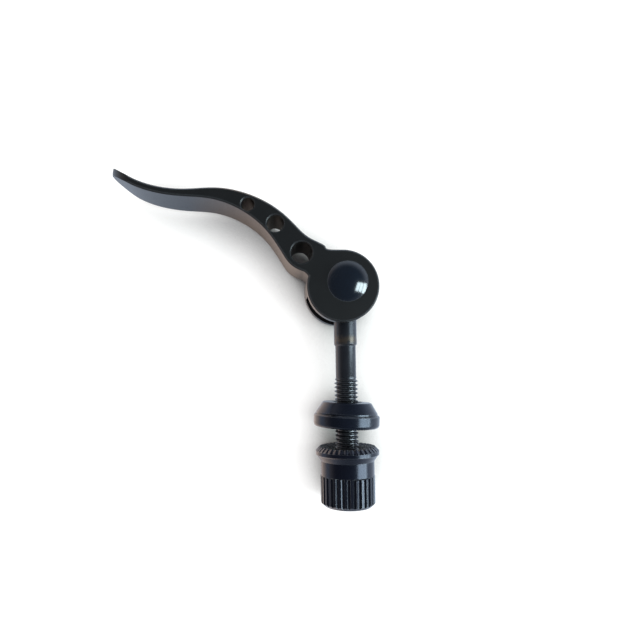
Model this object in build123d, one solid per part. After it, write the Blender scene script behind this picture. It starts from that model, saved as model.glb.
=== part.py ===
"""Quick-release cam lever: a forked cam lever on a cross pin, a threaded stud, two loose washers
and a knurled adjusting nut.

Origin: where the pivot pin's axis crosses the stud's axis. +Z runs along the pivot pin, the stud
points along -Y, and the lever's arm leaves towards -X and +Y. Millimetres.
"""

import math
import os

from build123d import *

# Lever
LEVER_WIDTH = 12.0          # along the pivot axis
CAM_RADIUS = 8.65
CAM_OFFSET_X = -1.08        # cam centre from the pivot axis: the eccentric that does the clamping
CAM_OFFSET_Y = -1.07
EDGE_BREAK = 0.35           # chamfer round both flat faces
TIP_X = -57.3
TIP_ROUND_LENGTH = 8.5      # seen along the stud, the grip's end is half an ellipse
TIP_OVERSIZE = 0.4          # the ellipse is this much wider each side, so it meets the flats at an angle
HOLE_DIAMETERS = (5.2, 4.1, 3.2)                            # graded, smallest towards the tip
HOLE_CENTRES = ((-10.9, 7.05), (-17.1, 14.05), (-23.6, 18.75))
HOLE_BREAK = 0.2

# Fork: the slot in the cam head that the stud swings in
SLOT_CLEARANCE = 0.4        # each side of the stud
CLOSED_ANGLE = 49.0         # lever travel from rest to closed
OPEN_ANGLE = 70.0           # lever travel from rest to fully open
SLOT_SPARE_ANGLE = 4.0

# Pivot pin
PIN_DIAMETER = 9.6
PIN_CLEARANCE = 0.04        # radial, in the lever's bores
PIN_DOME_HEIGHT = 1.7

# Stud
COLLAR_DIAMETER = 5.6
COLLAR_END = 14.8           # distances along the stud, from the pivot axis
SHANK_DIAMETER = 5.05
THREAD_START = 22.85
THREAD_DIAMETER = 5.9       # M6 x 1
THREAD_ENGAGEMENT = 9.0     # of the stud in the nut, at rest
STUD_SEAT_DEPTH = 3.2       # how far the stud is screwed in, past the pin's near side
STUD_CHAMFER = 0.7

# Washers
WASHER_BORE = 6.6
WASHER_LEAN = 3.0           # degrees: the loose stack leans on the stud
BASE_WASHER_DIAMETER = 16.3
BASE_WASHER_HEIGHT = 3.15
BASE_WASHER_TOP_BREAK = 0.3
BASE_WASHER_ROUND = 0.9
CONE_WASHER_DIAMETER = 15.2
CONE_WASHER_TOP = 11.9
CONE_WASHER_HEIGHT = 3.05
CONE_WASHER_LAND = 0.45     # short upright wall under the cone
CONE_WASHER_ROUND = 0.5
WASHER_SEAM = 32.25         # distance from the pivot axis to the seam between the washers

# Adjusting nut
NUT_TOP = 40.2              # distance from the pivot axis to the serrated rim
NUT_HEIGHT = 14.7
FLANGE_DIAMETER = 15.7
FLANGE_RIM = 2.2            # height of the flange's rounded rim
FLANGE_CONE = 1.3           # height of the cone under it
BELT_DIAMETER = 13.3
BELT_END = 7.0              # from the nut's top to where the knurl starts
KNURL_DIAMETER = 13.5
KNURL_DEPTH = 0.42
KNURL_COUNT = 30
NUT_BOTTOM_ROUND = 0.8
NUT_ADJUSTMENT = 3.0        # how much further the nut can be screwed on
NUT_BORE_SPARE = 0.8        # blind bore's floor past the stud's end, with the nut screwed right on
NUT_THREAD_CLEARANCE = 0.06
DISH_DIAMETER = 13.6        # recess inside the serrated rim
DISH_DEPTH = 0.9
SERRATION_COUNT = 36
SERRATION_DEPTH = 0.45
SERRATION_REACH = 1.2       # how far the teeth run in from the dish's edge


def stud_end():
    """Distance from the pivot axis to the stud's far end."""
    return NUT_TOP + THREAD_ENGAGEMENT


def on_stud(distance, tilt=0.0):
    """A plane across the stud at this distance from the pivot axis, with its normal towards the lever."""
    lean = math.radians(tilt)
    return Plane(origin=(0, -distance, 0), x_dir=(math.cos(lean), -math.sin(lean), 0),
                 z_dir=(math.sin(lean), math.cos(lean), 0))


def direction(angle):
    return Vector(math.cos(math.radians(angle)), math.sin(math.radians(angle)))


def arm_outline():
    """The S-shaped arm: back and belly are splines from the tip to the cam's rim."""
    tip_upper, tip_lower = (TIP_X + 1.0, 29.0), (TIP_X + 0.1, 27.8)
    back_end, belly_end = (CAM_OFFSET_X, CAM_OFFSET_Y + CAM_RADIUS), (-9.2, 1.2)
    back = Spline(tip_upper, (-51.6, 25.85), (-46.9, 23.95), (-38.4, 22.8), (-30.9, 22.95), (-23.4, 21.3),
                  (-15.9, 17.1), (-12.2, 13.55), (-8.9, 10.55), (-5.3, 8.55), back_end,
                  tangents=((0.8, -0.6), (1, 0)))
    belly = Spline(tip_lower, (-51.8, 24.2), (-46.9, 22.3), (-39.4, 21.0), (-32.8, 20.35), (-25.3, 17.5), (-18.85, 12.0),
                   (-15.4, 6.75), (-13.0, 3.75), (-11.0, 2.7), belly_end,
                   tangents=((0.8, -0.6), (0.6, -0.8)))
    heart = (CAM_OFFSET_X, CAM_OFFSET_Y)
    return back + belly + Line(tip_lower, tip_upper) + Polyline(back_end, heart, belly_end)


def slot_outline():
    """The stud's sweep from closed to open, seen by the lever, with clearance on each side."""
    half = COLLAR_DIAMETER / 2 + SLOT_CLEARANCE
    reach = 2 * CAM_RADIUS
    first = 270 - CLOSED_ANGLE - SLOT_SPARE_ANGLE
    last = 270 + OPEN_ANGLE + SLOT_SPARE_ANGLE
    start, end = direction(first), direction(last)
    side_start = direction(first - 90) * half
    side_end = direction(last + 90) * half
    corners = [side_start, side_start + start * reach, direction(first + 45) * reach * 1.6,
               direction((first + last) / 2) * reach * 1.6, direction(last - 45) * reach * 1.6,
               side_end + end * reach, side_end]
    return make_face(Polyline(*corners, close=True).edges())


def build_lever():
    profile = make_face(arm_outline().edges()) + Pos(CAM_OFFSET_X, CAM_OFFSET_Y) * Circle(CAM_RADIUS)
    lever = extrude(profile, amount=LEVER_WIDTH / 2, both=True)
    flats = lever.faces().filter_by(Axis.Z)
    lever = chamfer(flats.edges(), EDGE_BREAK)
    # the grip's end, rounded when seen along the stud
    reach = CAM_RADIUS - TIP_X
    half_width = LEVER_WIDTH / 2 + TIP_OVERSIZE
    grip = Pos(TIP_X + TIP_ROUND_LENGTH, 0) * Ellipse(TIP_ROUND_LENGTH, half_width)
    grip += Pos(TIP_X + TIP_ROUND_LENGTH + reach / 2, 0) * Rectangle(reach, 2 * half_width)
    lever &= extrude(Plane.XZ * grip, amount=reach, both=True)
    for (x, y), diameter in zip(HOLE_CENTRES, HOLE_DIAMETERS):
        hole = Cylinder(diameter / 2, 2 * LEVER_WIDTH)
        mouth = Cone(diameter / 2, diameter / 2 + 2 * HOLE_BREAK, 2 * HOLE_BREAK)
        for side in (1, -1):
            face_z = side * LEVER_WIDTH / 2
            hole += Pos(0, 0, face_z) * Rot(0 if side > 0 else 180, 0, 0) * mouth
        lever -= Pos(x, y) * hole
    slot_width = COLLAR_DIAMETER + 2 * SLOT_CLEARANCE
    lever -= extrude(slot_outline(), amount=slot_width / 2, both=True)
    return lever - Cylinder(PIN_DIAMETER / 2 + PIN_CLEARANCE, 2 * LEVER_WIDTH)


def stud_seat():
    """Where the stud's end face stops inside the pin, measured along the stud from the pivot axis."""
    return PIN_DIAMETER / 2 - STUD_SEAT_DEPTH


def build_pivot_pin():
    """A barrel pin with a domed head at each end and a blind tapped hole for the stud."""
    radius, half = PIN_DIAMETER / 2, LEVER_WIDTH / 2
    crown = half + PIN_DOME_HEIGHT
    sphere = (radius ** 2 + PIN_DOME_HEIGHT ** 2) / (2 * PIN_DOME_HEIGHT)
    shoulder = crown - sphere + math.sqrt(sphere ** 2 - radius ** 2 / 4)
    outline = make_face([
        *Line((0, -crown), (0, crown)).edges(),
        *ThreePointArc((0, crown), (radius / 2, shoulder), (radius, half)).edges(),
        *Line((radius, half), (radius, -half)).edges(),
        *ThreePointArc((radius, -half), (radius / 2, -shoulder), (0, -crown)).edges(),
    ])
    pin = revolve(Plane.XZ * outline, Axis.Z)
    tapped = extrude(on_stud(stud_seat()) * Circle(COLLAR_DIAMETER / 2), amount=-2 * radius)
    return pin - tapped


def build_stud():
    """Collar, waisted shank and M6 thread; the thread's form is a plain cylinder at its crests."""
    half_collar, half_shank, half_thread = COLLAR_DIAMETER / 2, SHANK_DIAMETER / 2, THREAD_DIAMETER / 2
    taper = (half_collar - half_shank) * 1.5
    lead_in = half_thread - half_shank
    outline = Polyline((0, -stud_seat()), (half_collar, -stud_seat()), (half_collar, -COLLAR_END),
                       (half_shank, -COLLAR_END - taper), (half_shank, -THREAD_START),
                       (half_thread, -THREAD_START - lead_in), (half_thread, -stud_end() + STUD_CHAMFER),
                       (half_thread - STUD_CHAMFER, -stud_end()), (0, -stud_end()), close=True)
    return revolve(make_face(outline.edges()), Axis.Y)


def build_base_washer():
    half, bore = BASE_WASHER_DIAMETER / 2, WASHER_BORE / 2
    washer = on_stud(WASHER_SEAM, WASHER_LEAN) * extrude(Circle(half) - Circle(bore), -BASE_WASHER_HEIGHT)
    rims = washer.edges().filter_by(GeomType.CIRCLE).filter_by(lambda e: e.radius > half - 0.01)
    rims = rims.sort_by(Axis.Y)
    washer = fillet(rims[0], BASE_WASHER_ROUND)
    top = washer.edges().filter_by(GeomType.CIRCLE).filter_by(lambda e: e.radius > half - 0.01)
    return chamfer(top.sort_by(Axis.Y)[-1], BASE_WASHER_TOP_BREAK)


def build_cone_washer():
    low, high, bore = CONE_WASHER_DIAMETER / 2, CONE_WASHER_TOP / 2, WASHER_BORE / 2
    outline = Polyline((bore, 0), (low, 0), (low, CONE_WASHER_LAND), (high, CONE_WASHER_HEIGHT),
                       (bore + CONE_WASHER_ROUND, CONE_WASHER_HEIGHT),
                       (bore, CONE_WASHER_HEIGHT - CONE_WASHER_ROUND), close=True)
    washer = revolve(Plane.XZ * make_face(outline.edges()), Axis.Z)
    shoulder = washer.edges().filter_by(GeomType.CIRCLE).filter_by(lambda e: abs(e.radius - high) < 0.01)
    return on_stud(WASHER_SEAM, WASHER_LEAN) * fillet(shoulder, CONE_WASHER_ROUND)


def build_adjusting_nut():
    """Serrated, dished rim; flange; smooth belt; straight knurl; blind tapped bore."""
    flange, belt, knurl = FLANGE_DIAMETER / 2, BELT_DIAMETER / 2, KNURL_DIAMETER / 2
    bore = THREAD_DIAMETER / 2 + NUT_THREAD_CLEARANCE
    dish = DISH_DIAMETER / 2
    floor = THREAD_ENGAGEMENT + NUT_ADJUSTMENT + NUT_BORE_SPARE
    corner = FLANGE_RIM * 0.45
    outline = Polyline((bore, -DISH_DEPTH), (dish, 0), (flange - corner, 0), (flange, -corner),
                       (flange, -FLANGE_RIM + 0.3), (flange - 0.3, -FLANGE_RIM),
                       (belt, -FLANGE_RIM - FLANGE_CONE), (belt, -BELT_END), (knurl, -BELT_END - 0.3),
                       (knurl, -NUT_HEIGHT + NUT_BOTTOM_ROUND), (knurl - NUT_BOTTOM_ROUND, -NUT_HEIGHT),
                       (0, -NUT_HEIGHT), (0, -floor), (bore, -floor), close=True)
    nut = revolve(Plane.XZ * make_face(outline.edges()), Axis.Z)
    pitch = 2 * math.pi * knurl / KNURL_COUNT
    groove = make_face(Polyline((knurl - KNURL_DEPTH, 0), (knurl + 0.4, 0.6 * pitch),
                                (knurl + 0.4, -0.6 * pitch), close=True).edges())
    groove = Pos(0, 0, -BELT_END - 0.15) * extrude(groove, -NUT_HEIGHT)
    nut -= [Rot(0, 0, 360 / KNURL_COUNT * step) * groove for step in range(KNURL_COUNT)]
    notch_half = math.pi * flange / SERRATION_COUNT * 0.6
    notch = make_face(Polyline((0, -SERRATION_DEPTH), (notch_half, 0.3), (-notch_half, 0.3), close=True).edges())
    notch = Pos(dish - SERRATION_REACH, 0, 0) * extrude(Plane.YZ * notch, flange)
    nut -= [Rot(0, 0, 360 / SERRATION_COUNT * (step + 0.5)) * notch for step in range(SERRATION_COUNT)]
    return on_stud(NUT_TOP) * nut


os.makedirs("parts", exist_ok=True)
pieces = {
    "lever": build_lever,
    "pivot_pin": build_pivot_pin,
    "stud": build_stud,
    "cone_washer": build_cone_washer,
    "base_washer": build_base_washer,
    "adjusting_nut": build_adjusting_nut,
}
for name, build in pieces.items():
    export_step(build(), f"parts/{name}.step")
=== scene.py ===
import math

import bpy
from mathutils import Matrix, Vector


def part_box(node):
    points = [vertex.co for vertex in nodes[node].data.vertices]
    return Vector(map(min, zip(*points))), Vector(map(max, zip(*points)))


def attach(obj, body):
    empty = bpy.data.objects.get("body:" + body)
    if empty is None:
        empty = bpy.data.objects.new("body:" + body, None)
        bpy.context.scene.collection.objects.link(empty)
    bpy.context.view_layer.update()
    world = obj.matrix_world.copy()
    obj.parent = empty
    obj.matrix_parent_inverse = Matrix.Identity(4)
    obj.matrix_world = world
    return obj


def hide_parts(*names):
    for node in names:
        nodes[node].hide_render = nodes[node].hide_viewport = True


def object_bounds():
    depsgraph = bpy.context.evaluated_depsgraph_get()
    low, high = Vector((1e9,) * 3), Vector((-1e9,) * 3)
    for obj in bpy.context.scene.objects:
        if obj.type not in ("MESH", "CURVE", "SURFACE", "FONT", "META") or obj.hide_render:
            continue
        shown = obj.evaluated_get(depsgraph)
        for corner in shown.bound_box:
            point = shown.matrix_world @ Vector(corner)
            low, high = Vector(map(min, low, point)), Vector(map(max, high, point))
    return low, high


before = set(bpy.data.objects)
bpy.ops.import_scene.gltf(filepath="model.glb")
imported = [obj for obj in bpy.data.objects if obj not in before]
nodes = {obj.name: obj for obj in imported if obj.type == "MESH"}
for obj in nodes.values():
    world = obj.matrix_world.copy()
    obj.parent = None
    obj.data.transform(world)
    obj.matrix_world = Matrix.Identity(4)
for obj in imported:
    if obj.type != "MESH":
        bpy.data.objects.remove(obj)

cad_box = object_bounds()
MM = 0.001


# ---------------------------------------------------------------- lever
# One machined aluminium piece: cam head, fork and S-shaped arm with three lightening holes.
# Bead-blasted and anodised black, so it is satin, with a fine grain and paler edges, which are rubbed
# wear and a painted highlight together.


def surface_grain_group():
    """Fine speckle, faint clouding and bright edges (rubbed wear and a painted highlight together),
    shared by the anodised and oxided metals.
    """
    group = bpy.data.node_groups.new("surface_grain", "ShaderNodeTree")
    sockets = group.interface
    for name, default in (("Grain Size", 0.00025), ("Cloud Size", 0.006), ("Edge Width", 0.0002)):
        sockets.new_socket(name, in_out="INPUT", socket_type="NodeSocketFloat").default_value = default
    for name in ("Grain", "Cloud", "Edge"):
        sockets.new_socket(name, in_out="OUTPUT", socket_type="NodeSocketFloat")
    make, wire = group.nodes.new, group.links.new
    given, out = make("NodeGroupInput"), make("NodeGroupOutput")
    place = make("ShaderNodeTexCoord")
    for name, detail in (("Grain", 2.0), ("Cloud", 3.0)):
        size = make("ShaderNodeMath")
        size.operation = "DIVIDE"
        size.inputs[0].default_value = 1.0
        wire(given.outputs[f"{name} Size"], size.inputs[1])
        noise = make("ShaderNodeTexNoise")
        noise.inputs["Detail"].default_value = detail
        wire(place.outputs["Object"], noise.inputs["Vector"])
        wire(size.outputs[0], noise.inputs["Scale"])
        wire(noise.outputs["Fac"], out.inputs[name])
    # the Edge mask drives a paler edge colour: rubbed wear and painted highlight together
    # an edge is where the rounded normal leaves the face's own
    bevel, face = make("ShaderNodeBevel"), make("ShaderNodeNewGeometry")
    bevel.samples = 6
    wire(given.outputs["Edge Width"], bevel.inputs["Radius"])
    turn = make("ShaderNodeVectorMath")
    turn.operation = "DOT_PRODUCT"
    wire(bevel.outputs["Normal"], turn.inputs[0])
    wire(face.outputs["Normal"], turn.inputs[1])
    spread = make("ShaderNodeMapRange")
    spread.inputs["From Min"].default_value = 0.995
    spread.inputs["From Max"].default_value = 0.90
    wire(turn.outputs["Value"], spread.inputs["Value"])
    wire(spread.outputs["Result"], out.inputs["Edge"])
    return group


def finished_metal(name, colour, edge_wear_and_sheen_colour, roughness, spread, metallic, bump,
                   cloud=0.006, specular=0.5):
    """A metal with clouded colour, grained roughness and paler edges that are wear and painted highlight
    together.
    """
    material = bpy.data.materials.new(name)
    material.use_nodes = True
    tree = material.node_tree
    make, wire = tree.nodes.new, tree.links.new
    shader = tree.nodes["Principled BSDF"]
    shader.inputs["Metallic"].default_value = metallic
    shader.inputs["Specular IOR Level"].default_value = specular
    grains = make("ShaderNodeGroup")
    grains.node_tree = surface_grain
    grains.inputs["Grain Size"].default_value = 0.00025
    grains.inputs["Cloud Size"].default_value = cloud
    tone = make("ShaderNodeMix")
    tone.data_type = "RGBA"
    tone.inputs["A"].default_value = (*[0.75 * c for c in colour], 1)
    tone.inputs["B"].default_value = (*[1.25 * c for c in colour], 1)
    wire(grains.outputs["Cloud"], tone.inputs["Factor"])
    # paler colour along every edge: rubbed wear, and a painted highlight where the edges catch light
    worn_and_lit_edge = make("ShaderNodeMix")
    worn_and_lit_edge.data_type = "RGBA"
    worn_and_lit_edge.inputs["B"].default_value = (*edge_wear_and_sheen_colour, 1)
    wire(grains.outputs["Edge"], worn_and_lit_edge.inputs["Factor"])
    wire(tone.outputs["Result"], worn_and_lit_edge.inputs["A"])
    wire(worn_and_lit_edge.outputs["Result"], shader.inputs["Base Color"])
    rough = make("ShaderNodeMapRange")
    rough.inputs["To Min"].default_value = roughness - spread
    rough.inputs["To Max"].default_value = roughness + spread
    wire(grains.outputs["Grain"], rough.inputs["Value"])
    wire(rough.outputs["Result"], shader.inputs["Roughness"])
    relief = make("ShaderNodeBump")
    relief.inputs["Strength"].default_value = bump
    relief.inputs["Distance"].default_value = 0.00002
    wire(grains.outputs["Grain"], relief.inputs["Height"])
    wire(relief.outputs["Normal"], shader.inputs["Normal"])
    return material


def finish_node(node, material):
    nodes[node].data.materials.clear()
    nodes[node].data.materials.append(material)


surface_grain = surface_grain_group()
black_anodised = finished_metal("black_anodised", (0.008, 0.008, 0.008), (0.05, 0.055, 0.06),
                                roughness=0.40, spread=0.07, metallic=0.0, bump=0.25, specular=0.4)
finish_node("lever", black_anodised)


# ---------------------------------------------------------------- pivot pin
# Turned steel barrel with a polished dome at each end, blackened. The stud is screwed into it,
# which also keeps it in the lever's bores.

polished_black = finished_metal("polished_black", (0.004, 0.007, 0.012), (0.05, 0.055, 0.07),
                                roughness=0.15, spread=0.04, metallic=0.0, bump=0.06,
                                cloud=0.003, specular=0.8)
finish_node("pivot_pin", polished_black)


# ---------------------------------------------------------------- stud
# Black-oxided steel: plain collar, waisted shank and a rolled M6 x 1 thread that the nut runs on.
# The thread is a helical skin over the plain blank, with its crests at the blank's diameter.

THREAD_PITCH = 1.0 * MM
THREAD_DEPTH = 0.55 * MM
THREAD_SIDES = 56
STEPS_PER_PITCH = 14
COLLAR_RADIUS, COLLAR_END = 2.8 * MM, 14.8 * MM
SHANK_RADIUS, THREAD_START = 2.525 * MM, 22.85 * MM
COLLAR_SLOPE = 0.41 * MM
RUN_IN, END_CHAMFER = 1.2 * THREAD_PITCH, 0.7 * MM


def stud_profile():
    """(distance along the stud, radius) of the plain part, from the pin to where the thread starts."""
    start = -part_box("stud")[1][1]
    return [(start, COLLAR_RADIUS), (COLLAR_END, COLLAR_RADIUS),
            (COLLAR_END + COLLAR_SLOPE, SHANK_RADIUS), (THREAD_START, SHANK_RADIUS)]


def thread_radius(distance, turn, end, crest):
    """Crest and root of the helix at one point, running out at both ends of the thread."""
    phase = (distance / THREAD_PITCH + turn) % 1.0
    ramp = abs(phase - 0.5) * 2                       # 1 at the crest, 0 at the root
    form = min(1.0, max(0.0, (ramp - 0.30) / 0.60))   # wide rounded root and narrow crest
    grow = min(1.0, (distance - THREAD_START) / RUN_IN)
    radius = crest - THREAD_DEPTH * (1.0 - form)
    radius = SHANK_RADIUS + (radius - SHANK_RADIUS) * grow
    chamfer = max(0.0, distance - (end - END_CHAMFER))
    return min(radius, crest - chamfer)


def build_threaded_stud():
    low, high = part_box("stud")
    crest = (high[0] - low[0]) / 2
    end = -low[1]
    rings = [(d, [r] * THREAD_SIDES) for d, r in stud_profile()]
    count = round((end - THREAD_START) / THREAD_PITCH * STEPS_PER_PITCH)
    for step in range(1, count + 1):
        distance = THREAD_START + (end - THREAD_START) * step / count
        rings.append((distance, [thread_radius(distance, side / THREAD_SIDES, end, crest)
                                 for side in range(THREAD_SIDES)]))
    verts, faces = [], []
    for distance, radii in rings:
        for side, radius in enumerate(radii):
            angle = 2 * math.pi * side / THREAD_SIDES
            verts.append((radius * math.cos(angle), -distance, radius * math.sin(angle)))
    for ring in range(len(rings) - 1):
        for side in range(THREAD_SIDES):
            here, there = ring * THREAD_SIDES, (ring + 1) * THREAD_SIDES
            nxt = (side + 1) % THREAD_SIDES
            faces.append((here + side, here + nxt, there + nxt, there + side))
    faces.append(tuple(reversed(range(THREAD_SIDES))))
    faces.append(tuple(range((len(rings) - 1) * THREAD_SIDES, len(rings) * THREAD_SIDES)))
    mesh = bpy.data.meshes.new("threaded_stud")
    mesh.from_pydata(verts, [], faces)
    mesh.shade_smooth()
    mesh.set_sharp_from_angle(angle=math.radians(32))
    stud = bpy.data.objects.new("threaded_stud", mesh)
    bpy.context.scene.collection.objects.link(stud)
    return stud


black_oxide = finished_metal("black_oxide", (0.028, 0.030, 0.036), (0.12, 0.125, 0.13),
                             roughness=0.30, spread=0.07, metallic=0.6, bump=0.2, cloud=0.004)


def stain_and_shade_band(material, axis, start, end, colour, amount):
    """A band of colour across the piece from start to end, measured along axis: oil and rust that
    collected on the stud, and painted shade along the washers' seam.
    """
    tree = material.node_tree
    make, wire = tree.nodes.new, tree.links.new
    shader = tree.nodes["Principled BSDF"]
    under = shader.inputs["Base Color"].links[0].from_socket
    place, along = make("ShaderNodeTexCoord"), make("ShaderNodeVectorMath")
    along.operation = "DOT_PRODUCT"
    along.inputs[1].default_value = axis
    wire(place.outputs["Object"], along.inputs[0])
    inside = make("ShaderNodeMapRange")
    inside.interpolation_type = "SMOOTHSTEP"
    middle, half = (start + end) / 2, (end - start) / 2
    offset = make("ShaderNodeMath")
    offset.operation = "SUBTRACT"
    offset.inputs[1].default_value = middle
    away = make("ShaderNodeMath")
    away.operation = "ABSOLUTE"
    wire(along.outputs["Value"], offset.inputs[0])
    wire(offset.outputs[0], away.inputs[0])
    inside.inputs["From Min"].default_value = half
    inside.inputs["From Max"].default_value = half * 0.2
    wire(away.outputs[0], inside.inputs["Value"])
    patch = make("ShaderNodeTexNoise")
    patch.inputs["Scale"].default_value = 700
    wire(place.outputs["Object"], patch.inputs["Vector"])
    broken = make("ShaderNodeMapRange")
    broken.inputs["From Min"].default_value = 0.35
    broken.inputs["From Max"].default_value = 0.6
    broken.inputs["To Max"].default_value = amount
    wire(patch.outputs["Fac"], broken.inputs["Value"])
    cover = make("ShaderNodeMath")
    cover.operation = "MULTIPLY"
    wire(inside.outputs["Result"], cover.inputs[0])
    wire(broken.outputs["Result"], cover.inputs[1])
    band_tone = make("ShaderNodeMix")
    band_tone.data_type = "RGBA"
    band_tone.inputs["B"].default_value = (*colour, 1)
    wire(cover.outputs[0], band_tone.inputs["Factor"])
    wire(under, band_tone.inputs["A"])
    wire(band_tone.outputs["Result"], shader.inputs["Base Color"])


# rust-brown film where the collar ends
stain_and_shade_band(black_oxide, (0, -1, 0), 12.2 * MM, 15.6 * MM, (0.10, 0.075, 0.05), 0.6)
finish_node("stud", black_oxide)
stud = build_threaded_stud()
stud.data.materials.append(black_oxide)
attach(stud, "core")
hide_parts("stud")


# ---------------------------------------------------------------- washers
# A cone washer on a plain base washer, both turned steel with a smooth black finish.
# They are loose, so the stack leans a little on the stud.

washer_black = finished_metal("washer_black", (0.010, 0.013, 0.022), (0.11, 0.115, 0.12),
                              roughness=0.24, spread=0.05, metallic=0.5, bump=0.12,
                              cloud=0.005, specular=0.35)
# painted shade: a near-black band along the seam between the two, where shade falls in the gap
WASHER_LEAN = math.radians(3.0)
SEAM_FROM, SEAM_TO = -32.33 * MM, -31.93 * MM
stain_and_shade_band(washer_black, (math.sin(WASHER_LEAN), math.cos(WASHER_LEAN), 0), SEAM_FROM, SEAM_TO,
           (0.002, 0.002, 0.003), 1.0)
finish_node("cone_washer", washer_black)
finish_node("base_washer", washer_black)


# ---------------------------------------------------------------- adjusting nut
# Turned steel nut with a serrated, dished rim, a smooth belt and a straight knurl for the fingers.
# Blackened like the washers.

nut_black = finished_metal("nut_black", (0.009, 0.011, 0.020), (0.10, 0.105, 0.11),
                           roughness=0.24, spread=0.05, metallic=0.5, bump=0.12,
                           cloud=0.005, specular=0.35)
NUT_TOP = 40.2 * MM      # distance of the rim from the pivot
DISH_REACH = 1.1 * MM
TOOTH_COUNT = 36
TOOTH_RELIEF = 0.15 * MM


def radial_teeth(material, top, depth, count):
    """Fine teeth across the nut's dished top, round the stud's axis, as relief in the finish."""
    tree = material.node_tree
    make, wire = tree.nodes.new, tree.links.new
    place, split = make("ShaderNodeTexCoord"), make("ShaderNodeSeparateXYZ")
    wire(place.outputs["Object"], split.inputs["Vector"])
    around = make("ShaderNodeMath")
    around.operation = "ARCTAN2"
    wire(split.outputs["Z"], around.inputs[0])
    wire(split.outputs["X"], around.inputs[1])
    ridges = make("ShaderNodeMath")
    ridges.operation = "MULTIPLY"
    ridges.inputs[1].default_value = count
    wave = make("ShaderNodeMath")
    wave.operation = "COSINE"
    wire(around.outputs[0], ridges.inputs[0])
    wire(ridges.outputs[0], wave.inputs[0])
    dish = make("ShaderNodeMapRange")
    dish.inputs["From Min"].default_value = -top - depth
    dish.inputs["From Max"].default_value = -top - depth * 0.7
    wire(split.outputs["Y"], dish.inputs["Value"])
    cut = make("ShaderNodeMath")
    cut.operation = "MULTIPLY"
    wire(wave.outputs[0], cut.inputs[0])
    wire(dish.outputs["Result"], cut.inputs[1])
    teeth = make("ShaderNodeBump")
    teeth.inputs["Strength"].default_value = 0.9
    teeth.inputs["Distance"].default_value = TOOTH_RELIEF
    wire(cut.outputs[0], teeth.inputs["Height"])
    wire(teeth.outputs["Normal"], tree.nodes["Bump"].inputs["Normal"])


radial_teeth(nut_black, NUT_TOP, DISH_REACH, TOOTH_COUNT)
finish_node("adjusting_nut", nut_black)


# ---------------------------------------------------------------- floor
# A plain pale sheet of card, large enough to fill the view.
# The part lies on it, resting on the rims of its washer and nut.

FLOOR_REACH = 2.0
floor_z = cad_box[0][2]
floor_mesh = bpy.data.meshes.new("floor")
floor_mesh.from_pydata([(-FLOOR_REACH, -FLOOR_REACH, floor_z), (FLOOR_REACH, -FLOOR_REACH, floor_z),
                        (FLOOR_REACH, FLOOR_REACH, floor_z), (-FLOOR_REACH, FLOOR_REACH, floor_z)],
                       [], [(0, 1, 2, 3)])
floor = bpy.data.objects.new("floor", floor_mesh)
bpy.context.scene.collection.objects.link(floor)
pale = bpy.data.materials.new("pale_floor")
pale.use_nodes = True
sheet = pale.node_tree
lay, link = sheet.nodes.new, sheet.links.new
paper = sheet.nodes["Principled BSDF"]
paper.inputs["Base Color"].default_value = (0.30, 0.28, 0.26, 1)
paper.inputs["Roughness"].default_value = 0.9


def span(start, end, top=1.0):
    """A ramp that rises from nothing at start to top at end."""
    ramp = lay("ShaderNodeMapRange")
    ramp.inputs["From Min"].default_value = start
    ramp.inputs["From Max"].default_value = end
    ramp.inputs["To Max"].default_value = top
    return ramp


def combine(operation, first, second):
    joined = lay("ShaderNodeMath")
    joined.operation = operation
    link(first, joined.inputs[0])
    link(second, joined.inputs[1])
    return joined.outputs[0]


# the sheet glows plain white to the eye and in reflections; close to and under the part the glow is
# dimmed by ambient occlusion, a painted shadow
seen = lay("ShaderNodeLightPath")
shade = lay("ShaderNodeAmbientOcclusion")
shade.samples = 12
shade.inputs["Distance"].default_value = 0.02
depth = span(0.35, 0.80, top=0.95)
link(shade.outputs["AO"], depth.inputs["Value"])
direct = combine("MAXIMUM", seen.outputs["Is Camera Ray"], seen.outputs["Is Glossy Ray"])
link(combine("MULTIPLY", direct, depth.outputs["Result"]), paper.inputs["Emission Strength"])
# painted reflection: the glow that the part mirrors is tinted cool towards the grip and warm by the head
where, across = lay("ShaderNodeTexCoord"), lay("ShaderNodeSeparateXYZ")
link(where.outputs["Object"], across.inputs["Vector"])
past_grip, past_head = span(-0.040, -0.026), span(-0.006, -0.013)
for edge in (past_grip, past_head):
    link(across.outputs["X"], edge.inputs["Value"])
painted_reflection_tint, plain = lay("ShaderNodeMix"), lay("ShaderNodeMix")
painted_reflection_tint.data_type = plain.data_type = "RGBA"
painted_reflection_tint.inputs["A"].default_value = (0.83, 0.98, 1.25, 1)
painted_reflection_tint.inputs["B"].default_value = (1.95, 1.55, 1.35, 1)
plain.inputs["B"].default_value = (1, 1, 1, 1)
link(combine("MULTIPLY", past_grip.outputs["Result"], past_head.outputs["Result"]), painted_reflection_tint.inputs["Factor"])
link(painted_reflection_tint.outputs["Result"], plain.inputs["A"])
link(seen.outputs["Is Camera Ray"], plain.inputs["Factor"])
link(plain.outputs["Result"], paper.inputs["Emission Color"])
floor_mesh.materials.append(pale)


# ---------------------------------------------------------------- light
# A window of three panes to the right, which shows in the polished metal, and a soft fill
# from the left that shows in nothing.


def area_lamp(name, place, aim, size, power, colour=(1, 1, 1)):
    lamp = bpy.data.lights.new(name, "AREA")
    lamp.shape = "RECTANGLE"
    lamp.size, lamp.size_y = size
    lamp.energy = power
    lamp.color = colour
    holder = bpy.data.objects.new(name, lamp)
    bpy.context.scene.collection.objects.link(holder)
    holder.location = place
    holder.rotation_euler = (Vector(aim) - Vector(place)).to_track_quat("-Z", "Y").to_euler()
    return holder


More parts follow.
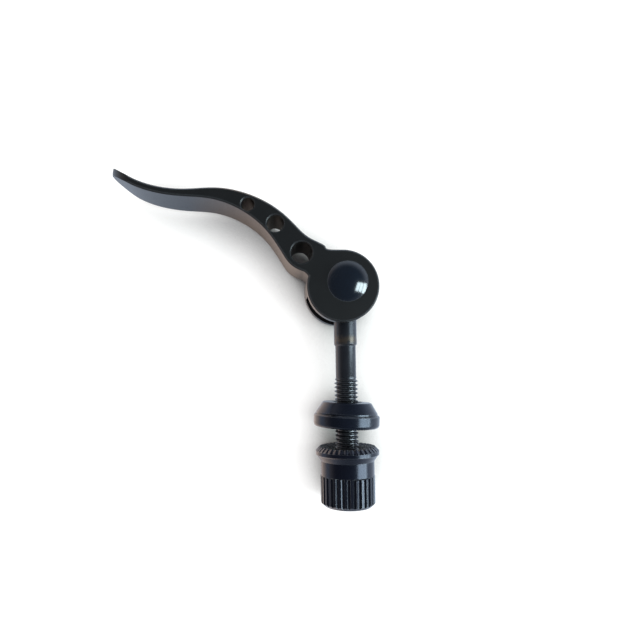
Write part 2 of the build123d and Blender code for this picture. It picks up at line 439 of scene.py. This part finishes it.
WINDOW_REACH = 0.62
PANE_SIZE, PANE_POWER = (0.32, 0.135), 2.2
for pane, degrees in (("lower", 17), ("middle", 32), ("upper", 46)):
    height = math.radians(degrees)
    place = (WINDOW_REACH * math.cos(height), -0.14, WINDOW_REACH * math.sin(height))
    area_lamp(f"window_{pane}", place, (0, -0.02, 0), PANE_SIZE, PANE_POWER, (0.78, 0.95, 1.0))
fill = area_lamp("fill", (-0.5, 0.45, 0.5), (0, 0, 0), (0.7, 0.5), 5.0)
fill.visible_glossy = False

# the room: pale walls, cool towards the window and warm away from it, and a dim ceiling,
# so that faces which look up stay black
world = bpy.data.worlds.new("soft_room")
world.use_nodes = True
room = world.node_tree
sky = room.nodes.new("ShaderNodeTexCoord")
heading = room.nodes.new("ShaderNodeSeparateXYZ")
side = room.nodes.new("ShaderNodeMapRange")
side.inputs["From Min"].default_value = -0.75
side.inputs["From Max"].default_value = -0.25
wall = room.nodes.new("ShaderNodeMix")
wall.data_type = "RGBA"
wall.inputs["A"].default_value = (1.0, 0.90, 0.84, 1)
wall.inputs["B"].default_value = (0.80, 0.90, 1.05, 1)
rise = room.nodes.new("ShaderNodeMapRange")
rise.interpolation_type = "SMOOTHSTEP"
rise.inputs["From Min"].default_value = 0.02
rise.inputs["From Max"].default_value = 0.50
ceiling = room.nodes.new("ShaderNodeMix")
ceiling.data_type = "RGBA"
ceiling.inputs["B"].default_value = (0.085, 0.095, 0.125, 1)
join = room.links.new
join(sky.outputs["Generated"], heading.inputs["Vector"])
join(heading.outputs["X"], side.inputs["Value"])
join(side.outputs["Result"], wall.inputs["Factor"])
join(heading.outputs["Z"], rise.inputs["Value"])
join(rise.outputs["Result"], ceiling.inputs["Factor"])
join(wall.outputs["Result"], ceiling.inputs["A"])
# the backdrop itself is plain white
looked_at, backdrop = room.nodes.new("ShaderNodeLightPath"), room.nodes.new("ShaderNodeMix")
backdrop.data_type = "RGBA"
backdrop.inputs["B"].default_value = (1, 1, 1, 1)
join(looked_at.outputs["Is Camera Ray"], backdrop.inputs["Factor"])
join(ceiling.outputs["Result"], backdrop.inputs["A"])
join(backdrop.outputs["Result"], room.nodes["Background"].inputs["Color"])
room.nodes["Background"].inputs["Strength"].default_value = 1.0
bpy.context.scene.world = world


# ---------------------------------------------------------------- camera
# Looks straight down on the part as it lies, near enough for its sides to show a little.
# It is close, so the lens is a wide one.

lens = bpy.data.cameras.new("camera")
lens.sensor_width = 36.0
lens.lens = 28.1
lens.shift_x, lens.shift_y = 0.0703, 0.0781
lens.clip_start = 0.005
camera = bpy.data.objects.new("camera", lens)
bpy.context.scene.collection.objects.link(camera)
camera.location = (-0.01772, -0.02090, 0.125)
camera.rotation_euler = (0, 0, math.radians(-0.97))
bpy.context.scene.camera = camera
bpy.context.scene.view_settings.view_transform = "Standard"
